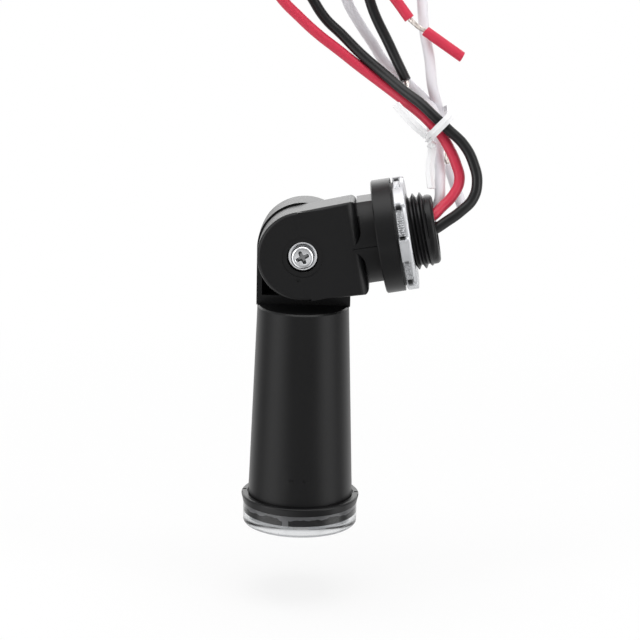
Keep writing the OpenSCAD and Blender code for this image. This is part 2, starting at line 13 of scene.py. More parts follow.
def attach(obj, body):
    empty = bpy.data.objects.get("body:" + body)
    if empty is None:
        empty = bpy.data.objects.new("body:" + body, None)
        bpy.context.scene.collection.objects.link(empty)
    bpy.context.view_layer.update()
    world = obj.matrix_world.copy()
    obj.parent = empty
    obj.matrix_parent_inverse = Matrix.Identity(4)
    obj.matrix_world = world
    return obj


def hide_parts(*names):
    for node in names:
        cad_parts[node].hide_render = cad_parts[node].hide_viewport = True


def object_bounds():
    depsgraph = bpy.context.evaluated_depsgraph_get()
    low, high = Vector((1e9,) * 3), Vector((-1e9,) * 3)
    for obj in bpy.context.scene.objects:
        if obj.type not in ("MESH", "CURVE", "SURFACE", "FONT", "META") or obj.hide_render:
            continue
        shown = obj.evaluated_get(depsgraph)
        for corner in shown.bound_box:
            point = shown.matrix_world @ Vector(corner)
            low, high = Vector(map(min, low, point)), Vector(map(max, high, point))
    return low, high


bl_info = {
    "name": "Photocell Switch",
    "version": (1, 0, 0),
    "blender": (4, 5, 0),
    "location": "View3D > Sidebar > Photocell",
    "description": "Builds the visible pieces of a swivel-stem photocell light switch around its solids",
    "category": "Object",
}

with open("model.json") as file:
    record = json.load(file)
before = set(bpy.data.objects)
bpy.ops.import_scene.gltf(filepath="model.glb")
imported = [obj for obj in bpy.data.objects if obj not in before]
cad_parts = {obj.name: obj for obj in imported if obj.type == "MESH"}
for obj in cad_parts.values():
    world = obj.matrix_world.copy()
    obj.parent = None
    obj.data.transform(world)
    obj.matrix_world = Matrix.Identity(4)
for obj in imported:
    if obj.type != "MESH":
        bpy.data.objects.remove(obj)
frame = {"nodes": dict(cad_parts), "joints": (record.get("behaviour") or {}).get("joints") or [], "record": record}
CAD_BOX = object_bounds()

MM = 0.001
NODES = frame["nodes"]
PIVOT = Vector(frame["joints"][0]["pos_m"])
STEM_AXIS = Vector(frame["record"]["mounts"][0]["axis"]).normalized()
STEM_UP = Vector((-STEM_AXIS.z, 0, STEM_AXIS.x))
FRONT = Vector((0, -1, 0))


def axes_matrix(x_axis, y_axis, z_axis, origin):
    """A placing matrix from three axes and an origin."""
    matrix = Matrix((x_axis, y_axis, z_axis)).transposed().to_4x4()
    matrix.translation = origin
    return matrix


# Local z runs out along the stem from the collar's seat, x up across it and y to the front
STEM_PLACE = axes_matrix(STEM_UP, FRONT, STEM_AXIS, Vector((0, 0, 0)))
# Local z runs to the front along the pivot, x along the stem and y up across it
KNUCKLE_PLACE = axes_matrix(STEM_AXIS, STEM_UP, FRONT, PIVOT)

# The leads' routes, in millimetres: out of the stem, through the tie, over and back
RED_ROUTE = [
    (-2.5, -3.5, 1), (2.5, -3, 3.5), (8.5, -3, 5.5), (11, -1, 7.5), (14, 1, 10.5), (15.5, 3, 14),
    (14.5, 4.5, 18), (12.5, 6, 22), (10.5, 7, 25), (8, 8, 27.5), (5, 9.5, 30), (0.5, 12, 33), (-5, 15, 36.5),
    (-11, 17, 40.5), (-16.5, 18, 44.5), (-22.5, 18, 49), (-27, 18, 53), (-32, 18, 58), (-35.5, 18, 63.5),
    (-37, 18, 69.5), (-34.5, 18, 76), (-28.5, 18, 79.5), (-21, 18, 78), (-14, 18, 72.5), (-7.5, 18, 64.5),
    (-2, 17.5, 58), (1.5, 16.5, 53.5)]
BLACK_ROUTE = [
    (-2, -3, -4), (3, -4, -0.5), (8.5, -4.5, 2), (12.5, -3.5, 4.5), (16, -2.5, 7), (19, -1, 10), (20, 0.5, 14),
    (19, 2, 18.5), (16.5, 3.5, 23), (12, 5, 27), (8.5, 6, 30), (5.5, 7.5, 32.5), (0, 11, 36), (-5, 14.5, 39.5),
    (-11, 17.5, 44), (-16, 19.5, 48.5), (-20.5, 21, 52.5), (-24, 22, 57.5), (-27.5, 22, 63.5), (-29.5, 22, 70),
    (-28, 22, 77), (-23.5, 22, 81.5), (-17.5, 22, 81.5), (-13, 22, 76.5), (-11, 22, 69.5), (-9, 22, 57.5),
    (-3, 19.5, 45), (1, 16, 37.5)]
WHITE_ROUTE = [
    (-1.5, 3, -3), (3, 3, -1), (6.5, 2.5, 1.5), (9, 2, 5), (10.5, 2.5, 9), (10.5, 4, 12.5), (10.5, 6.5, 15.5),
    (10, 9, 19), (10, 10.5, 22.5), (10, 11.5, 26), (9, 12.5, 29), (6.5, 16, 32), (2.5, 21, 35),
    (-1.5, 23.5, 38), (-5, 25, 41), (-8, 25.5, 45.5), (-11.5, 26, 50.5), (-15, 26.5, 56.5), (-17, 26.5, 63.5),
    (-16, 26.5, 70.5), (-11.5, 26.5, 76), (-5, 26.5, 77), (0.5, 26, 72.5), (3.5, 24.5, 65), (5.5, 20, 50),
    (7, 17.5, 43), (8, 15.5, 36), (9.5, 15.5, 30.5), (10.5, 15.5, 25.5), (11, 15, 20)]

# The stripped ends: bare strands from each lead into its slug of cut insulation
RED_STRIP = [(1.65, 16.45, 53.3), (2.5, 16.3, 52.6), (4.1, 16.2, 51.3), (5.7, 16, 50.5), (8.6, 15.7, 48.6)]
RED_SLUG = [(5.7, 16, 50.5), (15.5, 15, 44)]
BLACK_STRIP = [(1.1, 15.9, 37.3), (1.25, 15.6, 36.5), (1.05, 15.3, 34.8), (1.8, 15, 34)]
BLACK_SLUG = [(1.05, 15.3, 34.8), (3.55, 14.2, 32)]
WHITE_STRIP = [(11, 15, 19.7), (11.3, 14.9, 18.9), (12, 14.9, 17.2), (12.6, 15, 15.8), (13.8, 14.85, 12.5)]
WHITE_SLUG = [(12.6, 15, 15.8), (16.5, 14.5, 4.9)]

# The twist tie: its loop's middle, the twist below it and the two tails
TIE_CENTRE = (10.3, 10.5, 28)
TIE_TWIST = [(6.7, 5.6, 25), (7.6, 5.6, 23.7), (8.3, 5.4, 21.9)]
TIE_TAIL_UP = [(6.7, 5.6, 25), (3, 6.4, 28), (-1.4, 8.4, 32.4)]
TIE_TAIL_DOWN = [(8.3, 5.4, 21.9), (7.8, 3, 16.6), (8.3, 0.5, 12.2)]


def in_metres(points):
    """Route points, given in millimetres, in metres."""
    return [Vector(point) * MM for point in points]


# Settings

class HousingSettings(bpy.types.PropertyGroup):
    """The black mouldings and the lens."""

    plastic: FloatVectorProperty(
        name="Plastic", description="Colour of the moulded housing", subtype="COLOR", default=(0.007, 0.007, 0.0075))
    rubber: FloatVectorProperty(
        name="Rubber", description="Colour of the gasket and sealant", subtype="COLOR", default=(0.012, 0.012, 0.013))
    thread_pitch: FloatProperty(
        name="Thread pitch", description="Pitch of the stem's thread", subtype="DISTANCE", default=1.81 * MM)
    thread_depth: FloatProperty(
        name="Thread depth", description="Depth of the stem's thread", subtype="DISTANCE", default=1.05 * MM)
    smear: FloatVectorProperty(
        name="Smear", description="Colour of the sealant's thin film on the lens", subtype="COLOR",
        default=(0.3, 0.3, 0.31))
    sealant_sag: FloatProperty(
        name="Sealant unevenness", description="How far the sealant's upper edge wanders", subtype="DISTANCE",
        default=0.9 * MM)


class HardwareSettings(bpy.types.PropertyGroup):
    """The plated locknut and the pivot hardware."""

    zinc: FloatVectorProperty(
        name="Zinc", description="Colour of the bright plating", subtype="COLOR", default=(0.76, 0.77, 0.79))
    dull_zinc: FloatVectorProperty(
        name="Dull zinc", description="Colour of the locknut's plating", subtype="COLOR", default=(0.62, 0.63, 0.65))
    lobes: IntProperty(name="Lobes", description="Lobes round the locknut", default=6)
    lobe_turn: FloatProperty(
        name="Lobe turn", description="Turn of the first lobe from the top", subtype="ANGLE", default=radians(36))
    lobe_share: FloatProperty(name="Lobe share", description="Share of the rim that lobes take", default=0.42)
    knurl_depth: FloatProperty(
        name="Knurl depth", description="Depth of the rough stretches between lobes", subtype="DISTANCE",
        default=0.2 * MM)
    screw_turn: FloatProperty(
        name="Screw turn", description="Turn of the screw's cross recess", subtype="ANGLE", default=radians(15))


class LeadSettings(bpy.types.PropertyGroup):
    """The three leads and the tie."""

    diameter: FloatProperty(
        name="Diameter", description="Diameter of a lead over its insulation", subtype="DISTANCE", default=2.8 * MM)
    red: FloatVectorProperty(
        name="Red", description="Colour of the red insulation", subtype="COLOR", default=(0.62, 0.035, 0.075))
    black: FloatVectorProperty(
        name="Black", description="Colour of the black insulation", subtype="COLOR", default=(0.006, 0.006, 0.0065))
    white: FloatVectorProperty(
        name="White", description="Colour of the white insulation", subtype="COLOR", default=(0.85, 0.83, 0.87))
    tie: FloatVectorProperty(
        name="Tie", description="Colour of the twist tie", subtype="COLOR", default=(0.86, 0.86, 0.87))
    tie_width: FloatProperty(
        name="Tie width", description="Width of the twist tie's strip", subtype="DISTANCE", default=2.2 * MM)


class StageSettings(bpy.types.PropertyGroup):
    """Camera, floor and lights."""

    azimuth: FloatProperty(
        name="Azimuth", description="Camera's turn about the object", subtype="ANGLE", default=radians(1.8))
    elevation: FloatProperty(
        name="Elevation", description="Camera's height above the horizon", subtype="ANGLE",
        default=radians(14.716))
    roll: FloatProperty(
        name="Roll", description="Camera's turn about its own view", subtype="ANGLE", default=radians(1.09))
    distance: FloatProperty(
        name="Distance", description="From the camera to its target", subtype="DISTANCE", default=0.7)
    lens: FloatProperty(name="Lens", description="Focal length in millimetres", default=151.1)
    floor_drop: FloatProperty(
        name="Floor drop", description="From the lowest point down to the floor", subtype="DISTANCE", default=0.02)


# Mesh helpers

def new_object(name, data):
    """Links a new object that holds the data."""
    made = bpy.data.objects.new(name, data)
    bpy.context.scene.collection.objects.link(made)
    return made


def weld(bm, gap=1e-6):
    """Merges the vertices of a bmesh that are no further apart than the gap."""
    bmesh.ops.remove_doubles(bm, verts=bm.verts, dist=gap)


def finish_mesh(bm, name, material, smooth_angle=32, gap=1e-6, place=None):
    """Places and welds a bmesh, turns its faces outwards and links it as a smooth-shaded object."""
    if place is not None:
        bmesh.ops.transform(bm, matrix=place, verts=bm.verts)
    weld(bm, gap)
    bmesh.ops.recalc_face_normals(bm, faces=bm.faces)
    mesh = bpy.data.meshes.new(name)
    bm.to_mesh(mesh)
    bm.free()
    mesh.shade_smooth()
    mesh.set_sharp_from_angle(angle=radians(smooth_angle))
    mesh.materials.append(material)
    return new_object(name, mesh)


def corner_key(mesh, index):
    """A corner's place, rounded so that equal places compare equal."""
    return tuple(round(value, 6) for value in mesh.vertices[mesh.loops[index].vertex_index].co)


def keep_shading(piece, node):
    """Gives a piece cut from a solid the solid's own corner normals, where its corners are still there."""
    same, soft = 0.999, 0.87  # Cosines between faces that are one flat, and that shade as one surface
    source, mesh = NODES[node].data, piece.data
    known, around = {}, {}
    for face in source.polygons:
        for index in face.loop_indices:
            known.setdefault(corner_key(source, index), []).append(
                (face.normal.copy(), source.corner_normals[index].vector.copy()))
    for face in mesh.polygons:
        for vertex in face.vertices:
            around.setdefault(vertex, []).append((face.normal.copy(), face.area))
    normals = []
    for face in mesh.polygons:
        for index, vertex in zip(face.loop_indices, face.vertices):
            alike = [shade for flat, shade in known.get(corner_key(mesh, index), []) if flat.dot(face.normal) > same]
            blend = sum((flat * area for flat, area in around[vertex] if flat.dot(face.normal) > soft), Vector())
            normals.append(alike[0] if alike else blend.normalized())
    mesh.normals_split_custom_set(normals)


def welded_copy(node):
    """A welded bmesh copy of a solid's mesh."""
    bm = bmesh.new()
    bm.from_mesh(NODES[node].data)
    weld(bm)
    return bm


def turned(profile, segments, closed=False, start=0.0, sweep=360.0, rise=0.0, bm=None):
    """Spins a profile of (radius, height) points about local z; start and sweep are in degrees."""
    if bm is None:
        bm = bmesh.new()
    turn = radians(start)
    verts = [bm.verts.new((r * cos(turn), r * sin(turn), height)) for r, height in profile]
    pairs = list(zip(verts, verts[1:]))
    if closed:
        pairs.append((verts[-1], verts[0]))
    edges = [bm.edges.new(pair) for pair in pairs]
    bmesh.ops.spin(
        bm, geom=verts + edges, cent=(0, 0, 0), axis=(0, 0, 1), dvec=(0, 0, rise / segments),
        angle=radians(sweep), steps=segments, use_merge=sweep == 360.0)
    weld(bm, 1e-7)
    return bm


def arc(centre, radius, start, end, steps):
    """Points (radius, height) along an arc, with angles in degrees."""
    angles = [radians(start + (end - start) * i / steps) for i in range(steps + 1)]
    return [(centre[0] + radius * cos(a), centre[1] + radius * sin(a)) for a in angles]


def round_outline(radius, sides):
    """A circle's points."""
    return arc((0, 0), radius, 0, 360, sides)[:-1]


def boundary_edges(bm):
    """The open edges of a bmesh."""
    return [edge for edge in bm.edges if edge.is_boundary]


def slice_along(bm, place, normal, clear, gap=1e-8):
    """Cuts a bmesh along a plane, and clears what is ahead of it if asked to."""
    bmesh.ops.bisect_plane(
        bm, geom=bm.verts[:] + bm.edges[:] + bm.faces[:], dist=gap, plane_co=place, plane_no=normal,
        clear_outer=clear)


def set_radius(vert, radius):
    """Moves a vertex in or out to a radius about local z."""
    share = radius / hypot(vert.co.x, vert.co.y)
    vert.co.x *= share
    vert.co.y *= share


def from_mm(points):
    """Flat points, given in millimetres, in metres."""
    return [(a * MM, b * MM) for a, b in points]


def smooth_path(points, count):
    """Evenly shared points on a smooth curve through the given ones."""
    spans = len(points) - 1
    path = []
    for i in range(count + 1):
        place = i / count * spans
        k = min(int(place), spans - 1)
        t = place - k
        before, start, end, after = (points[min(max(k + j, 0), spans)] for j in (-1, 0, 1, 2))
        path.append(0.5 * (2 * start + (end - before) * t + (2 * before - 5 * start + 4 * end - after) * t * t
                           + (3 * start - before - 3 * end + after) * t ** 3))
    return path


def path_frames(path, across, twist=0.0, closed=False):
    """A frame at each point of a path: x across it, turned on along it by the twist, and z ahead."""
    frames = []
    last = len(path) - 1
    for i, point in enumerate(path):
        before, after = max(i - 1, 0), min(i + 1, last)
        if closed:
            before, after = (i - 1) % last, (i + 1) % last
        ahead = (path[after] - path[before]).normalized()
        side = (across - across.dot(ahead) * ahead).normalized()
        side = Matrix.Rotation(twist * i / last, 3, ahead) @ side
        frames.append(axes_matrix(side, ahead.cross(side), ahead, point))
    return frames


def swept(bm, outline, frames, closed=False):
    """Carries a closed outline of (across, through) points along frames, and caps its ends unless they meet."""
    verts = [bm.verts.new(frames[0] @ Vector((a, b, 0))) for a, b in outline]
    edges = [bm.edges.new(pair) for pair in zip(verts, verts[1:] + verts[:1])]
    first = list(edges)
    for here, there in zip(frames, frames[1:]):
        made = bmesh.ops.extrude_edge_only(bm, edges=edges)["geom"]
        verts = [item for item in made if isinstance(item, bmesh.types.BMVert)]
        edges = [item for item in made if isinstance(item, bmesh.types.BMEdge) and set(item.verts) <= set(verts)]
        bmesh.ops.transform(bm, matrix=there @ here.inverted(), verts=verts)
    if not closed:
        bmesh.ops.holes_fill(bm, edges=first + edges)


def swept_block(outline, frames):
    """A closed block, from an outline in millimetres carried along frames."""
    block = bmesh.new()
    swept(block, from_mm(outline), frames)
    bmesh.ops.recalc_face_normals(block, faces=block.faces)
    return block


def combine(bm, block, operation):
    """Cuts a block out of a bmesh, joins it on or keeps what they share, and frees the block."""
    host, tool = (new_object(name, bpy.data.meshes.new(name)) for name in ("host", "tool"))
    bm.to_mesh(host.data)
    block.to_mesh(tool.data)
    block.free()
    modifier = host.modifiers.new("Carve", "BOOLEAN")
    modifier.operation, modifier.solver, modifier.object = operation, "EXACT", tool
    bm.clear()
    bm.from_object(host, bpy.context.evaluated_depsgraph_get())
    for mesh in (host.data, tool.data):
        bpy.data.meshes.remove(mesh)


def rise_between(value, low, high):
    """A smooth rise from nought at low to one at high."""
    share = min(max((value - low) / (high - low), 0.0), 1.0)
    return share * share * (3 - 2 * share)


def dress_node(node, material):
    """Gives a solid that keeps its own mesh a finish."""
    mesh = NODES[node].data
    mesh.materials.clear()
    mesh.materials.append(material)


def stand_for(piece, node, body):
    """Lets a piece ride on a body in place of its solid."""
    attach(piece, body)
    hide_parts(node)


# Node helpers

def feed(socket, value):
    """Gives a node's input a value, or a link from another node's output."""
    if isinstance(value, bpy.types.NodeSocket):
        socket.id_data.links.new(value, socket)
    else:
        socket.default_value = value


def fill(node, **values):
    """Feeds a node's inputs by their names, with _ for a space."""
    for label, value in values.items():
        feed(node.inputs[label.replace("_", " ")], value)
    return node


def add(tree, kind, **values):
    """A new shader node with its inputs filled."""
    return fill(tree.nodes.new("ShaderNode" + kind), **values)


def maths(operation, *values):
    """A math node fed by sockets or numbers, in the tree of the first socket."""
    node = add(next(value.id_data for value in values if isinstance(value, bpy.types.NodeSocket)), "Math")
    node.operation = operation
    for socket, value in zip(node.inputs, values):
        feed(socket, value)
    return node.outputs[0]


def between(value, low, high):
    """A smooth rise from nought at low to one at high."""
    node = add(value.id_data, "MapRange", Value=value, From_Min=low, From_Max=high)
    node.interpolation_type = "SMOOTHSTEP"
    return node.outputs["Result"]


def by_ray(mask, inside, outside):
    """One level where the mask is one and another where it is nought."""
    return maths("MULTIPLY_ADD", mask, maths("SUBTRACT", inside, outside), outside)


def split_place(tree, kind="Object"):
    """The three numbers of a texture coordinate."""
    return add(tree, "SeparateXYZ", Vector=add(tree, "TexCoord").outputs[kind]).outputs


def noise(vector, scale, detail=3.0, roughness=0.5):
    """A noise texture's value on a vector."""
    node = add(vector.id_data, "TexNoise", Vector=vector, Scale=scale, Detail=detail, Roughness=roughness)
    return node.outputs["Fac"]


def new_group(name, inputs, outputs, kind="Float"):
    """An empty shader node group with its named sockets, what comes in and its last node."""
    tree = bpy.data.node_groups.new(name, "ShaderNodeTree")
    for label, default in inputs.items():
        given = "NodeSocketColor" if isinstance(default, tuple) else "NodeSocketFloat"
        tree.interface.new_socket(name=label, in_out="INPUT", socket_type=given).default_value = default
    for label in outputs:
        tree.interface.new_socket(name=label, in_out="OUTPUT", socket_type="NodeSocket" + kind)
    return tree, tree.nodes.new("NodeGroupInput").outputs, tree.nodes.new("NodeGroupOutput")


def moulded_skin_group():
    """Fine moulded grain with faint flow marks: a height for bump, a roughness and a tone."""
    tree, given, leave = new_group(
        "Moulded Skin", {"Grain Scale": 3500.0, "Flow Scale": 60.0, "Roughness": 0.38, "Spread": 0.08},
        ["Height", "Roughness", "Tone"])
    middle, fine_spread, tone_spread = 0.5, 0.06, 0.5
    place = add(tree, "TexCoord").outputs["Object"]
    grain = noise(place, given["Grain Scale"], 4.0, 0.6)
    flow = maths("SUBTRACT", noise(place, given["Flow Scale"]), middle)
    rough = maths("MULTIPLY_ADD", flow, given["Spread"], given["Roughness"])
    fine = maths("SUBTRACT", grain, middle)
    fill(leave, Height=grain, Roughness=maths("MULTIPLY_ADD", fine, fine_spread, rough),
         Tone=maths("MULTIPLY_ADD", flow, tone_spread, middle))
    return tree


def scuff_group():
    """Fine crossed scratches as a mask, for plated metal and clear plastic."""
    tree, given, leave = new_group("Fine Scuffs", {"Scale": 400.0, "Amount": 0.5}, ["Mask"])
    threshold, softness = 0.62, 0.02
    place = add(tree, "TexCoord").outputs["Object"]
    streaks = []
    for turn in (0.4, 1.9):
        drawn = add(tree, "Mapping", Vector=place, Rotation=(turn, 0.7 * turn, turn), Scale=(1.0, 0.04, 1.0))
        field = maths("SUBTRACT", noise(drawn.outputs["Vector"], given["Scale"], 2.0), threshold)
        streaks.append(maths("SMOOTH_MAX", field, 0.0, softness))
    fill(leave, Mask=maths("MULTIPLY", maths("ADD", *streaks), given["Amount"]))
    return tree


def tone_group():
    """Mixes two colours by a tone value."""
    tree, given, leave = new_group(
        "Toned Colour", {"Base": (0.5, 0.5, 0.5, 1), "Shade": (0.4, 0.4, 0.4, 1), "Tone": 0.5}, ["Color"], "Color")
    mix = add(tree, "Mix", Factor=given["Tone"])
    mix.data_type = "RGBA"
    feed(mix.inputs[6], given["Shade"])
    feed(mix.inputs[7], given["Base"])
    fill(leave, Color=mix.outputs[2])
    return tree


def shared_group(name):
    """A node group by name, built the first time it is asked for."""
    makers = {"Moulded Skin": moulded_skin_group, "Fine Scuffs": scuff_group, "Toned Colour": tone_group}
    return bpy.data.node_groups.get(name) or makers[name]()


def place_group(tree, name, **values):
    """Places a shared group in a material, with its own input values."""
    node = add(tree, "Group")
    node.node_tree = shared_group(name)
    return fill(node, **values).outputs


def start_material(name):
    """A new material and its Principled shader."""
    material = bpy.data.materials.new(name)
    material.use_nodes = True
    return material, material.node_tree, material.node_tree.nodes["Principled BSDF"]


def with_alpha(colour, factor=1.0):
    """An RGBA tuple from a colour, darkened or lightened by a factor."""
    return (*(channel * factor for channel in colour), 1.0)


def grained(tree, shader, colour, contrast, strength, depth, **values):
    """Gives a shader a skin's bump, with its depth in millimetres; puts out roughness and toned colour."""
    skin = place_group(tree, "Moulded Skin", **values)
    toned = place_group(
        tree, "Toned Colour", Base=with_alpha(colour), Shade=with_alpha(colour, contrast), Tone=skin["Tone"])
    bump = add(tree, "Bump", Strength=strength, Distance=depth * MM, Height=skin["Height"])
    fill(shader, Normal=bump.outputs["Normal"])
    return skin["Roughness"], toned["Color"]


def skin_material(name, colour, roughness, grain, depth, contrast=0.75, flow=60, specular=0.5):
    """Moulded plastic, rubber or insulation: grained, with a slightly varied tone."""
    material, tree, shader = start_material(name)
    rough, toned = grained(tree, shader, colour, contrast, strength=0.5, depth=depth, Grain_Scale=grain,
                           Flow_Scale=flow, Roughness=roughness)
    fill(shader, Base_Color=toned, Roughness=rough, Specular_IOR_Level=specular)
    return material


def metal_material(name, colour, roughness, grain, depth, metallic=1.0):
    """Plated metal with fine scuffs, with painted shade darkening its recesses where the piece's own attribute says
    so.
    """
    material, tree, shader = start_material(name)
    rough, toned = grained(tree, shader, colour, contrast=0.8, strength=0.6, depth=depth, Grain_Scale=grain,
                           Flow_Scale=300, Roughness=roughness, Spread=0.2)
    # Painted shade: the piece's attribute mixes the colour towards a near-black copy of it
    painted_shade = add(tree, "Attribute")
    painted_shade.attribute_name = "painted_shade"
    unshaded = maths("SUBTRACT", 1.0, painted_shade.outputs["Fac"])
    shaded = place_group(tree, "Toned Colour", Base=toned, Shade=with_alpha(colour, 0.06), Tone=unshaded)
    scuffs = place_group(tree, "Fine Scuffs", Scale=900, Amount=0.8)
    fill(shader, Base_Color=shaded["Color"], Roughness=maths("ADD", rough, scuffs["Mask"]), Metallic=metallic)
    return material


def clear_material(name, edge):
    """Clear polished plastic with a few scuffs, greyer below the height where its lower edge begins."""
    material, tree, shader = start_material(name)
    fade, polish = 0.5 * MM, 0.04
    rise = maths("SUBTRACT", split_place(tree)["Z"], edge - fade)
    tone = maths("MAXIMUM", maths("MULTIPLY", rise, 1 / fade), 0.0)
    toned = place_group(tree, "Toned Colour", Base=(0.78, 0.79, 0.8, 1), Shade=(0.3, 0.31, 0.32, 1),
                        Tone=maths("MINIMUM", tone, 1.0))
    scuffs = place_group(tree, "Fine Scuffs", Scale=300, Amount=0.6)
    fill(shader, Base_Color=toned["Color"], Roughness=maths("ADD", scuffs["Mask"], polish),
         Transmission_Weight=1.0, IOR=1.49)
    return material


# Pieces

class BuildMouldings(bpy.types.Operator):
    """Finish the stem with its thread, the bezel, the housing tube, the baffle and the gasket"""

    bl_idname = "photocell.mouldings"
    bl_label = "Mouldings"

    def execute(self, context):
        settings = context.scene.photocell_housing
        plastic = skin_material(
            "Moulded Black", settings.plastic, roughness=0.36, grain=5200, depth=0.012, specular=0.22)
        for bm, name, node, body in (
                (self.stem_with_thread(settings), "stem_moulding", "swivel_stem", "stem"),
                (self.bezel_with_notches(), "bezel_moulding", "bezel_ring", "head")):
            piece = finish_mesh(bm, name, plastic, 30)
            keep_shading(piece, node)
            stand_for(piece, node, body)
        for node in ("housing_tube", "sensor_baffle"):
            dress_node(node, plastic)
        rubber = skin_material("Gasket Rubber", settings.rubber, roughness=0.55, grain=3000, depth=0.02)
        dress_node("sealing_gasket", rubber)
        return {"FINISHED"}

    def bezel_with_notches(self):
        """The bezel's solid with the floors of its two notches lifted, so that they are faint."""
        outside, half_width, deep, lift, slack = 14.2 * MM, 1.25 * MM, 0.4 * MM, 0.28 * MM, 0.05 * MM
        bm = welded_copy("bezel_ring")
        floor = max(vert.co.z for vert in bm.verts) - deep
        for vert in bm.verts:
            beside = abs(vert.co.x - PIVOT.x) > outside and abs(vert.co.y) < half_width
            if beside and abs(vert.co.z - floor) < slack:
                vert.co.z += lift
        return bm

    def stem_with_thread(self, settings):
        """The stem's solid with its plain end taken off and a threaded end put on."""
        cut = 3.3 * MM
        bm = welded_copy("swivel_stem")
        self.blend_cheek(bm)
        slice_along(bm, STEM_AXIS * cut, STEM_AXIS, clear=True, gap=1e-7)
        bmesh.ops.bridge_loops(bm, edges=boundary_edges(bm))
        end = self.threaded_end(settings, cut)
        bmesh.ops.transform(end, matrix=STEM_PLACE, verts=end.verts)
        carrier = bpy.data.meshes.new("carrier")
        end.to_mesh(carrier)
        end.free()
        bm.from_mesh(carrier)
        bpy.data.meshes.remove(carrier)
        return bm

    def blend_cheek(self, bm):
        """Rounds the cheek's end off further and runs the neck's front out into it, with its parting line."""
        end, front, side, soft, corner = 15.4, 10.5, 12.36, 2.9, 1.5
        across = [axes_matrix(STEM_AXIS, FRONT, -STEM_UP, PIVOT + STEM_UP * reach * MM) for reach in (16, -16)]
        through = [axes_matrix(STEM_AXIS, STEM_UP, FRONT, PIVOT + FRONT * depth * MM) for depth in (0.6, 12)]
        combine(bm, swept_block(self.outside_corner(end, front, soft, 12), across), "DIFFERENCE")
        edge = self.outside_corner(end, side, corner, 8)
        for way in (1, -1):
            combine(bm, swept_block([(x, way * y) for x, y in edge], through), "DIFFERENCE")
        neck_r, neck_front, half_width, inside = 12.3, 10.385, 5.96, 7.3
        section = arc((0, neck_front - neck_r), neck_r, 119, 61, 24) + [(half_width, inside), (-half_width, inside)]
        tongue = swept_block(section, self.along_stem(-12, -8))
        plan = [(13, 0.85), (13.6, 0.95), (14.1, 1.25), (14.5, 1.65), (14.9, 2.2), (15.25, 2.85), (15.5, 3.5),
                (15.7, 4.2), (15.85, 5.2), (16.2, 5.2)]
        combine(tongue, swept_block(plan + [(x, -h) for x, h in reversed(plan)], through), "INTERSECT")
        combine(bm, tongue, "UNION")
        line = [(-0.12, 10.6), (-0.1, 10.42), (0, 10.2), (0.1, 10.42), (0.12, 10.6)]
        combine(bm, swept_block(line, self.along_stem(-11.6, -4.95)), "DIFFERENCE")

    def outside_corner(self, end, side, radius, steps):
        """The outline of what a rounded corner leaves off, reaching a little past both its edges."""
        past_end, past_side = end + 0.4, side + 1
        return arc((end - radius, side - radius), radius, 90, 0, steps) + [
            (past_end, side - radius), (past_end, past_side), (end - radius, past_side)]

    def along_stem(self, *heights):
        """Frames across the stem's axis, at heights in millimetres from the collar's seat."""
        return [STEM_PLACE @ Matrix.Translation((0, 0, height * MM)) for height in heights]

    def threaded_end(self, settings, start):
        """A closed threaded sleeve along local z that ends in a plain rounded lip."""
        crest_r, lip_r, bore_r = 9.85 * MM, 9.0 * MM, 7.2 * MM
        bevel, thread_end, front_crest = 7.35 * MM, 8.2 * MM, 7.5 * MM
        pitch, root_r = settings.thread_pitch, crest_r - settings.thread_depth
        steps, below = 96, 4
        turns = ceil(thread_end / pitch) + 3
        tooth = [(0, root_r), (0.12, root_r), (0.44, crest_r), (0.56, crest_r), (0.88, root_r), (1, root_r)]
        low = front_crest - (0.75 + below) * pitch
        profile = [(radius, low + share * pitch) for share, radius in tooth]
        bm = turned(profile, steps * turns, sweep=360 * turns, rise=pitch * turns)
        weld(bm)
        for height, normal, clear in ((start, -1, True), (bevel, 1, False), (thread_end, 1, True)):
            slice_along(bm, (0, 0, height), (0, 0, normal), clear)
        for vert in bm.verts:
            radius = hypot(vert.co.x, vert.co.y)
            limit = min(radius, crest_r - max(0.0, vert.co.z - bevel) * (crest_r - lip_r) / (thread_end - bevel))
            if vert.co.z > thread_end - 1e-7:
                limit = lip_r
            set_radius(vert, limit)
        lip_low = 8.25
        lip = [(9.0, lip_low)] + arc((7.8, 8.9), 1.2, 0, 90, 8) + [(7.5, 10.1), (7.2, 9.8)]
        turned(from_mm(lip) + [(bore_r, start)], steps, bm=bm)
        for low, high in ((start, start), (thread_end, lip_low * MM)):
            ring = [edge for edge in boundary_edges(bm)
                    if all(low - 1e-6 < vert.co.z < high + 1e-6 for vert in edge.verts)]
            bmesh.ops.bridge_loops(bm, edges=ring)
        return bm


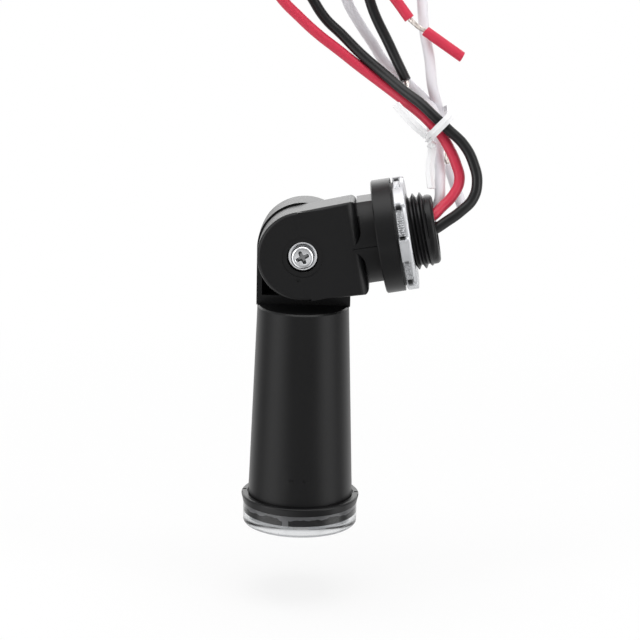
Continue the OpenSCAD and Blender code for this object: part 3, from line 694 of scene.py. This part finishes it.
class BuildLens(bpy.types.Operator):
    """Finish the lens and run the uneven sealant inside it"""

    bl_idname = "photocell.lens"
    bl_label = "Lens"

    def execute(self, context):
        settings = context.scene.photocell_housing
        lower_edge = PIVOT.z - 73.1 * MM
        dress_node("lens", clear_material("Clear Lens", lower_edge))
        rubber = skin_material("Sealant", settings.rubber, roughness=0.5, grain=2500, depth=0.03, specular=0.1)
        top, bottom, inner, outer = -69.75, -71.4, 12.3, 13.3
        steady, below_top = bottom + 0.7, top - 0.5
        section = [(inner, bottom), (outer, bottom), (outer, steady), (outer, below_top), (outer, top),
                   (inner, top), (inner, below_top), (inner, steady)]
        bm = turned(from_mm(section), 240, closed=True, start=260, sweep=353)
        bmesh.ops.holes_fill(bm, edges=boundary_edges(bm))
        for vert in bm.verts:
            wave = field_noise(vert.co * 260) + 0.5 * field_noise(vert.co * 900)
            vert.co.z += settings.sealant_sag * wave * rise_between(vert.co.z, steady * MM, top * MM)
        film_in, film_out, film_top = outer - 0.07, outer - 0.01, -68.36
        film = [(film_in, bottom), (film_out, bottom), (film_out, film_top), (film_in, film_top)]
        bead_faces = len(bm.faces)
        turned(from_mm(film), 120, closed=True, bm=bm)
        bm.faces.ensure_lookup_table()
        for face in bm.faces[bead_faces:]:
            face.material_index = 1
        bead = finish_mesh(bm, "sealant_bead", rubber, 50, place=Matrix.Translation(PIVOT))
        smear = skin_material("Sealant Smear", settings.smear, roughness=0.5, grain=1500, depth=0.02, contrast=0.6,
                              flow=400, specular=0.2)
        bead.data.materials.append(smear)
        stand_for(bead, "lens_sealant", "head")
        return {"FINISHED"}


class BuildLocknut(bpy.types.Operator):
    """Form the lobed locknut, with the rough stretches between its lobes"""

    bl_idname = "photocell.locknut"
    bl_label = "Locknut"

    def execute(self, context):
        settings = context.scene.photocell_hardware
        low, rim, high, bore, root, lip, lobe = 0.6, 2.6, 3.5, 9.95, 13.5, 14.2, 14.7
        section = [(bore, high - 0.3), (bore, low + 0.3), (bore + 0.3, low), (root - 0.25, low)]
        section += [(root, low + 0.25 + (rim - low - 0.35) * k / 8) for k in range(9)]
        section += [(lip - 0.1, rim), (lip, rim + 0.1), (lip, high - 0.3), (lip - 0.25, high), (bore + 0.3, high)]
        ribs, pit_width, pit_depth = 144, 0.04, 0.5 * MM
        bm = turned(from_mm(section), 720, closed=True)
        painted_shade = bm.verts.layers.float.new("painted_shade")
        pitch = 2 * pi / settings.lobes
        half = pitch * settings.lobe_share / 2
        for vert in bm.verts:
            radius, height = hypot(vert.co.x, vert.co.y), vert.co.z
            if radius < (root - 0.3) * MM:
                continue
            turn = atan2(vert.co.y, vert.co.x)
            phase = abs((turn - settings.lobe_turn + pitch / 2) % pitch - pitch / 2)
            grown = 1 - rise_between(phase, half - 0.02, half + 0.03)
            at_face = height < (low + 0.1) * MM or height > (high - 0.1) * MM
            target = radius + grown * ((lobe - 0.25 * at_face) * MM - radius)
            inside = rise_between(height, (low + 0.2) * MM, (low + 0.5) * MM)
            inside *= 1 - rise_between(height, (rim - 0.5) * MM, (rim - 0.1) * MM)
            rough = 0.6 * sin(turn * ribs) + field_noise(vert.co * 1500)
            pit = exp(-((phase - half - 0.01) / pit_width) ** 2) * inside
            target += (1 - grown) * inside * settings.knurl_depth * rough - pit_depth * pit
            # Painted shade: darker in the grooves beside the lobes and in the low spots of the rough stretches
            vert[painted_shade] = min(1.0, 1.2 * pit + 0.5 * (1 - grown) * inside * max(0.0, -rough))
            set_radius(vert, target)
        zinc = metal_material("Dull Zinc", settings.dull_zinc, roughness=0.38, grain=2600, depth=0.03, metallic=0.5)
        plate = finish_mesh(bm, "locknut_plate", zinc, 40, place=STEM_PLACE)
        stand_for(plate, "locknut", "stem")
        return {"FINISHED"}


class BuildPivot(bpy.types.Operator):
    """Form the pivot screw with its cross recess and the washer, and finish the nut"""

    bl_idname = "photocell.pivot"
    bl_label = "Pivot Hardware"

    def execute(self, context):
        settings = context.scene.photocell_hardware
        zinc = metal_material("Pivot Zinc", settings.zinc, roughness=0.22, grain=3200, depth=0.012)
        stand_for(self.screw(settings, zinc), "pivot_screw", "head")
        section = [(2.15, 8.4), (2.25, 8.3), (3.75, 8.3), (3.85, 8.4), (3.85, 8.85)]
        section += arc((3.6, 8.85), 0.25, 0, 90, 4)[1:] + [(3.2, 9.02), (2.7, 9.02), (2.25, 9.1), (2.15, 9.0)]
        bm = turned(from_mm(section), 96, closed=True)
        washer = finish_mesh(bm, "pivot_washer_plate", zinc, 40, place=KNUCKLE_PLACE)
        stand_for(washer, "pivot_washer", "stem")
        dress_node("pivot_nut", zinc)
        return {"FINISHED"}

    def screw(self, settings, zinc):
        """A pan-headed screw on local z, its cross pressed into a finely ringed crown."""
        seat, crown, head_r, shank_r, tail = 9.15, 11.15, 3.0, 1.95, -8.5
        rings, brim, dome = 40, 0.9, 0.05
        crown_in = head_r - brim
        section = [(shank_r - 0.4, tail), (shank_r, tail + 0.4), (shank_r, seat), (head_r - 0.15, seat),
                   (head_r, seat + 0.15)]
        section += arc((crown_in, crown - 0.95), brim, 0, 84, 8)
        section += [(crown_in * (1 - k / rings), crown - dome * (1 - k / rings) ** 2) for k in range(1, rings + 1)]
        bm = turned(from_mm([(0, tail)] + section), 160)
        painted_shade = bm.verts.layers.float.new("painted_shade")
        long_arm, deep, arm_half, taper, slope = 2.0 * MM, 1.3 * MM, 0.62, 0.22, 0.16 * MM
        for vert in bm.verts:
            if vert.co.z < (crown - 0.3) * MM:
                continue
            turn = atan2(vert.co.y, vert.co.x) - settings.screw_turn
            radius = hypot(vert.co.x, vert.co.y)
            sunk = 0.0
            for arm in range(4):
                angle = turn - arm * pi / 2
                along, aside = radius * cos(angle), abs(radius * sin(angle))
                if along < -0.1 * MM:
                    continue
                wide = (arm_half - taper * along / long_arm) * MM
                wall = 1 - rise_between(aside, wide - slope, wide)
                floor = 1 - rise_between(along, 0.5 * long_arm, long_arm)
                sunk = max(sunk, wall * floor)
            vert.co.z -= deep * sunk
            # Painted shade: darker down in the cross recess, in step with how far it is sunk
            vert[painted_shade] = 0.75 * sunk
        return finish_mesh(bm, "pivot_screw_plate", zinc, 45, place=KNUCKLE_PLACE)


class BuildElectronics(bpy.types.Operator):
    """Finish the board, its parts and the light sensor"""

    bl_idname = "photocell.electronics"
    bl_label = "Electronics"

    def execute(self, context):
        finishes = {
            "circuit_board": ("Board Laminate", (0.03, 0.14, 0.05)),
            "relay": ("Relay Cover", (0.04, 0.12, 0.36)),
            "film_capacitor": ("Film Capacitor", (0.5, 0.28, 0.06)),
            "electrolytic_capacitor": ("Capacitor Sleeve", (0.03, 0.03, 0.035)),
            "varistor": ("Varistor Coat", (0.05, 0.13, 0.38)),
            "rectifier_diodes": ("Diode Body", (0.02, 0.02, 0.022)),
            "resistors": ("Resistor Body", (0.5, 0.36, 0.18)),
            "light_sensor": ("Sensor Face", (0.62, 0.45, 0.2)),
        }
        for node, (name, colour) in finishes.items():
            dress_node(node, skin_material(name, colour, roughness=0.35, grain=3000, depth=0.02))
        return {"FINISHED"}


class BuildLeads(bpy.types.Operator):
    """Lay the three leads along their routes, with their strands and slugs"""

    bl_idname = "photocell.leads"
    bl_label = "Leads"

    def execute(self, context):
        settings = context.scene.photocell_leads
        copper = metal_material("Tinned Copper", (0.72, 0.66, 0.62), roughness=0.3, grain=2600, depth=0.01)
        for name, colour, route, strip, slug, length in (
                ("red", settings.red, RED_ROUTE, RED_STRIP, RED_SLUG, 0.165),
                ("black", settings.black, BLACK_ROUTE, BLACK_STRIP, BLACK_SLUG, 0.184),
                ("white", settings.white, WHITE_ROUTE, WHITE_STRIP, WHITE_SLUG, 0.175)):
            insulation = skin_material(f"{name.title()} Insulation", colour, roughness=0.36, grain=2200, depth=0.008,
                                       contrast=0.9, specular=0.3)
            lead = self.lead_curve(f"{name}_flex", in_metres(route), settings.diameter, insulation)
            stand_for(lead, f"{name}_lead", "stem")
            wires = self.strands(f"{name}_wires", in_metres(strip), copper)
            stand_for(wires, f"{name}_strands", "stem")
            sleeve = self.slug(f"{name}_sleeve", in_metres(slug), settings.diameter, insulation)
            stand_for(sleeve, f"{name}_slug", "stem")
        return {"FINISHED"}

    def lead_curve(self, name, points, diameter, material):
        """A round curve of one spline through the route's points."""
        curve = bpy.data.curves.new(name, "CURVE")
        curve.dimensions = "3D"
        curve.bevel_depth = diameter / 2
        curve.bevel_resolution = 5
        curve.resolution_u = 10
        curve.use_fill_caps = True
        spline = curve.splines.new("BEZIER")
        spline.bezier_points.add(len(points) - 1)
        for knot, point in zip(spline.bezier_points, points):
            knot.co = point
            knot.handle_left_type = knot.handle_right_type = "AUTO"
        curve.materials.append(material)
        return new_object(name, curve)

    def strands(self, name, points, material):
        """Seven fine wires laid in a twist along the stripped end."""
        bm = bmesh.new()
        wire_r, lay_r, count, outer_wires, twist = 0.23 * MM, 0.42 * MM, 36, 6, 0.9
        outline = round_outline(wire_r, 8)
        core = path_frames(smooth_path(points, count), FRONT)
        swept(bm, outline, core)
        for wire in range(outer_wires):
            path = []
            for i, place in enumerate(core):
                turn = 2 * pi * (wire / outer_wires + twist * i / count)
                path.append(place @ Vector((lay_r * cos(turn), lay_r * sin(turn), 0)))
            swept(bm, outline, path_frames(path, FRONT))
        return finish_mesh(bm, name, material, 40)

    def slug(self, name, points, diameter, material):
        """A short sleeve of insulation with a cut that isn't quite square."""
        start, end = points
        span, outer, inner, edge = (end - start).length, diameter / 2, 0.8 * MM, 0.22 * MM
        slant = 0.16 * MM
        section = [(inner, 0), (outer - edge, 0)] + arc((outer - edge, edge), edge, -90, 0, 4)[1:]
        section += [(outer, span * k / 8) for k in range(1, 8)]
        section += arc((outer - edge, span - edge), edge, 0, 90, 4) + [(inner, span)]
        bm = turned(section, 40, closed=True)
        for vert in bm.verts:
            lean = slant * sin(atan2(vert.co.y, vert.co.x) + 0.8)
            vert.co.z += lean * (rise_between(vert.co.z, 0.8 * span, span) - rise_between(-vert.co.z, -0.2 * span, 0))
        return finish_mesh(bm, name, material, 40, place=path_frames([start, end], FRONT)[0])


class BuildTie(bpy.types.Operator):
    """Wrap the twist tie round the leads"""

    bl_idname = "photocell.tie"
    bl_label = "Twist Tie"

    def execute(self, context):
        settings = context.scene.photocell_leads
        plastic = skin_material("Tie Plastic", settings.tie, roughness=0.4, grain=2500, depth=0.01, contrast=0.93)
        half, thin, foot, wire = settings.tie_width / 2, 0.13 * MM, 0.18 * MM, 0.4 * MM
        strip = [(-half, -thin), (-wire, -foot), (0, -wire), (wire, -foot)]
        strip += [(half, -thin)] + [(-a, -b) for a, b in strip] + [(-half, thin)]
        pair = [(1.3 * a, 0.75 * b) for a, b in round_outline(1 * MM, 16)]
        lean = radians(47)
        along = Vector((cos(lean), 0, sin(lean)))
        across = Vector((-sin(lean), 0, cos(lean)))
        bm = bmesh.new()
        swept(bm, strip, path_frames(self.loop(along), across, closed=True), closed=True)
        for outline, route, count, side, turn in (
                (pair, TIE_TWIST, 30, along, 2.4 * pi),
                (strip, TIE_TAIL_UP, 24, along, radians(35)),
                (strip, TIE_TAIL_DOWN, 24, Vector((1, 0, 0)), radians(-25))):
            swept(bm, outline, path_frames(smooth_path(in_metres(route), count), side, turn))
        stand_for(finish_mesh(bm, "tie_strip", plastic, 40, gap=1e-7), "twist_tie", "stem")
        return {"FINISHED"}

    def loop(self, along):
        """The strip's middle line round the leads: a rounded box, ending where it starts."""
        left, right, deep, corner = 4.2 * MM, 3.5 * MM, 7.35 * MM, 2.0 * MM
        path = []
        for x, y, start in ((right, deep, 0), (-left, deep, 90), (-left, -deep, 180), (right, -deep, 270)):
            middle = (x - copysign(corner, x), y - copysign(corner, y))
            path += arc(middle, corner, start, start + 90, 8)
        path.append(path[0])
        return [Vector(TIE_CENTRE) * MM + a * along + b * Vector((0, 1, 0)) for a, b in path]


class BuildStage(bpy.types.Operator):
    """Set the camera, the pale floor and the studio lights"""

    bl_idname = "photocell.stage"
    bl_label = "Stage"

    def execute(self, context):
        settings = context.scene.photocell_stage
        self.camera(context, settings)
        self.floor(settings)
        self.world(context)
        self.lights()
        context.scene.view_settings.view_transform = "Standard"
        return {"FINISHED"}

    def camera(self, context, settings):
        """The photograph's own view."""
        a, e, r = settings.azimuth, settings.elevation, settings.roll
        back = Vector((sin(a) * cos(e), -cos(a) * cos(e), sin(e)))
        right = Vector((cos(a), sin(a), 0))
        up = back.cross(right)
        right, up = cos(r) * right + sin(r) * up, -sin(r) * right + cos(r) * up
        aim = Vector((4.435, 0, -19.1)) * MM
        data = bpy.data.cameras.new("camera")
        data.lens = settings.lens
        data.clip_start, data.clip_end = 0.01, 50.0
        camera = new_object("camera", data)
        camera.matrix_world = axes_matrix(right, up, back, PIVOT + aim + settings.distance * back)
        context.scene.camera = camera

    def floor(self, settings):
        """A wide pale floor that keeps the object's shadow near it and is white further off; to gloss and glass rays
        it glows with a painted reflection: the studio's side bands and a bright card in front of the object.
        """
        shadow, card_near, card_far, card_turn = (0.12, 0.3), (0.28, 0.33), (0.5, 0.45), (-0.93, -0.97)
        material, tree, shader = start_material("Pale Floor")
        fill(shader, Base_Color=(0.93, 0.93, 0.93, 1), Roughness=0.9, Specular_IOR_Level=0.0)
        camera_ray, bent, place = self.rays(tree, "Object")
        x, y = place["X"], place["Y"]
        far = maths("SQRT", maths("MULTIPLY_ADD", x, x, maths("MULTIPLY", y, y)))
        white = maths("MULTIPLY_ADD", between(far, *shadow), 0.2, 0.8)
        seen = maths("MULTIPLY", camera_ray, white)
        # Painted reflection: a bright card on the floor in front, which only gloss and glass rays see
        painted_card = maths("MULTIPLY", between(far, *card_near), between(far, *card_far))
        ahead = between(maths("DIVIDE", y, far), *card_turn)
        painted_reflection = maths("MULTIPLY_ADD", maths("MULTIPLY", painted_card, ahead), 0.9, self.painted_studio(place))
        glow = add(tree, "Emission", Strength=by_ray(bent, painted_reflection, 1.0))
        mix = add(tree, "MixShader", Fac=maths("MAXIMUM", seen, bent))
        feed(mix.inputs[1], shader.outputs["BSDF"])
        feed(mix.inputs[2], glow.outputs["Emission"])
        fill(tree.nodes["Material Output"], Surface=mix.outputs["Shader"])
        bm = bmesh.new()
        bmesh.ops.create_grid(bm, x_segments=1, y_segments=1, size=6.0)
        bmesh.ops.translate(bm, verts=bm.verts, vec=(0, 0, CAD_BOX[0].z - settings.floor_drop))
        finish_mesh(bm, "floor", material)

    def rays(self, tree, kind):
        """Masks of the camera's rays and of gloss or glass rays, and the numbers of a coordinate."""
        path = add(tree, "LightPath").outputs
        bent = maths("MAXIMUM", path["Is Glossy Ray"], path["Is Transmission Ray"])
        return path["Is Camera Ray"], bent, split_place(tree, kind)

    def painted_studio(self, place):
        """How bright the studio's painted reflection is by direction: white behind, a white band on each side and dim
        in front.
        """
        turn = maths("ABSOLUTE", maths("ARCTAN2", place["X"], maths("MULTIPLY", place["Y"], -1.0)))
        band = maths("SUBTRACT", between(turn, 0.45, 0.95), between(turn, 1.25, 1.65))
        behind = between(turn, 1.75, 2.2)
        painted_bright = maths("MAXIMUM", maths("MULTIPLY", band, 1.2), maths("MULTIPLY", behind, 0.55))
        return maths("ADD", painted_bright, 0.45)

    def world(self, context):
        """White to the camera, a painted reflection of the studio by gloss or through glass, and plain elsewhere."""
        plain = 0.55
        world = bpy.data.worlds.new("studio")
        world.use_nodes = True
        tree = world.node_tree
        camera_ray, bent, direction = self.rays(tree, "Generated")
        # Painted reflection: gloss and glass rays see bright side bands that light nothing, other rays a plain level
        level = by_ray(bent, self.painted_studio(direction), plain)
        fill(tree.nodes["Background"], Color=(1, 1, 1, 1), Strength=by_ray(camera_ray, 1.0, level))
        context.scene.world = world

    def lights(self):
        """A long box behind and above for gloss only, and softboxes overhead and on each side."""
        for name, place, size, power in (
                ("back_box", (0.0, 0.8, 0.3), (1.6, 0.5), 5.0),
                ("overhead", (0.0, -0.1, 0.8), (0.7, 0.7), 4.0),
                ("left_box", (-0.75, -0.43, 0.1), (0.3, 0.9), 2.6),
                ("right_box", (0.75, -0.43, 0.1), (0.3, 0.9), 2.6)):
            data = bpy.data.lights.new(name, "AREA")
            data.shape = "RECTANGLE"
            data.size, data.size_y = size
            data.energy = power
            lamp = new_object(name, data)
            lamp.location = place
            lamp.visible_transmission = False
            lamp.visible_diffuse = name != "back_box"
            lamp.rotation_euler = (PIVOT - Vector(place)).to_track_quat("-Z", "Y").to_euler()


class PhotocellPanel(bpy.types.Panel):
    """Lists the pieces and their settings"""

    bl_idname = "VIEW3D_PT_photocell"
    bl_label = "Photocell Switch"
    bl_space_type = "VIEW_3D"
    bl_region_type = "UI"
    bl_category = "Photocell"

    def draw(self, context):
        for operator in OPERATORS:
            self.layout.operator(operator.bl_idname)
        for name, group in SETTINGS.items():
            box = self.layout.box()
            for label in group.__annotations__:
                box.prop(getattr(context.scene, name), label)


SETTINGS = {"photocell_housing": HousingSettings, "photocell_hardware": HardwareSettings,
            "photocell_leads": LeadSettings, "photocell_stage": StageSettings}
OPERATORS = (BuildStage, BuildLeads, BuildTie, BuildMouldings, BuildLens, BuildLocknut, BuildPivot,
             BuildElectronics)
CLASSES = (*SETTINGS.values(), *OPERATORS, PhotocellPanel)


def register():
    for cls in CLASSES:
        bpy.utils.register_class(cls)
    for name, group in SETTINGS.items():
        setattr(bpy.types.Scene, name, PointerProperty(type=group))


def unregister():
    for name in SETTINGS:
        delattr(bpy.types.Scene, name)
    for cls in reversed(CLASSES):
        bpy.utils.unregister_class(cls)


def main():
    register()
    bpy.ops.photocell.stage()
    bpy.ops.photocell.leads()
    bpy.ops.photocell.tie()
    bpy.ops.photocell.mouldings()
    bpy.ops.photocell.lens()
    bpy.ops.photocell.locknut()
    bpy.ops.photocell.pivot()
    bpy.ops.photocell.electronics()


if __name__ == "__main__":
    main()
